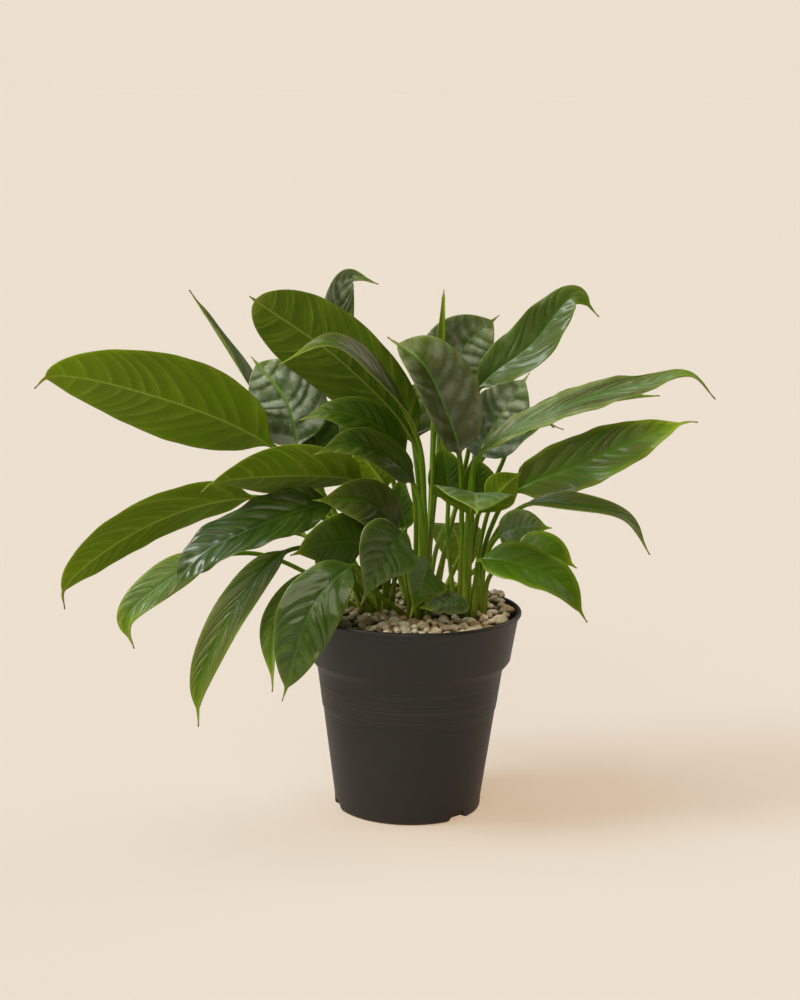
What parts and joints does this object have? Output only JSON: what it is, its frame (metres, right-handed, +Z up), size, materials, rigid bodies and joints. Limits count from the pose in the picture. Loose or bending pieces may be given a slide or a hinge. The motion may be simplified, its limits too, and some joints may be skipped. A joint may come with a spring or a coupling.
{
  "type": "potted peace lily",
  "caption": "Leafy potted peace lily without flowers, in a round tapered grower's pot with a collar, topped with gravel; stands on its base.",
  "frame": {"origin": "centre of the pot's flat underside, on the surface that it stands on", "axes": "+Z up; -Y to the front, the side with the low drooping leaves that the picture shows; +X to the right of that view"},
  "size_m": [0.4467, 0.2643, 0.3628],
  "materials": {
    "pot": "moulded charcoal-brown polypropylene, satin, with fine rings round the wall",
    "potting_mix": "dark brown bark and coir mix, matte",
    "gravel": "tan and beige decomposed-granite pebbles, matte and rough",
    "root_crown": "fibrous brown-green rootstock, matte",
    "leaf": "living leaf: glossy dark green above with sunk side veins, paler and matte below, yellow-green stalk"
  },
  "bodies": {
    "root": {"pot": "pot", "potting_mix": "potting_mix", "gravel": "gravel", "root_crown_left": "root_crown", "root_crown_middle": "root_crown", "root_crown_right": "root_crown", "root_crown_back": "root_crown", "leaf_left_1": "leaf", "leaf_left_2": "leaf", "leaf_left_3": "leaf", "leaf_left_4": "leaf", "leaf_left_5": "leaf", "leaf_left_6": "leaf", "leaf_left_7": "leaf", "leaf_left_8": "leaf", "leaf_front_1": "leaf", "leaf_front_2": "leaf", "leaf_front_3": "leaf", "leaf_front_4": "leaf", "leaf_front_5": "leaf", "leaf_front_6": "leaf", "leaf_front_7": "leaf", "leaf_right_1": "leaf", "leaf_right_2": "leaf", "leaf_right_3": "leaf", "leaf_right_4": "leaf", "leaf_right_5": "leaf", "leaf_right_6": "leaf", "leaf_right_7": "leaf", "leaf_right_8": "leaf", "leaf_right_9": "leaf", "leaf_top_1": "leaf", "leaf_top_2": "leaf", "leaf_top_3": "leaf", "leaf_top_4": "leaf", "leaf_top_5": "leaf", "leaf_top_6": "leaf", "leaf_top_7": "leaf", "leaf_top_8": "leaf", "leaf_top_9": "leaf", "leaf_top_10": "leaf", "leaf_top_11": "leaf", "leaf_spear": "leaf", "leaf_middle_1": "leaf", "leaf_middle_2": "leaf", "leaf_middle_3": "leaf", "leaf_back_1": "leaf", "leaf_back_2": "leaf", "leaf_back_3": "leaf", "leaf_back_4": "leaf", "leaf_back_5": "leaf", "leaf_back_6": "leaf", "leaf_back_7": "leaf", "leaf_back_8": "leaf", "leaf_back_9": "leaf"}
  },
  "joints": []
}
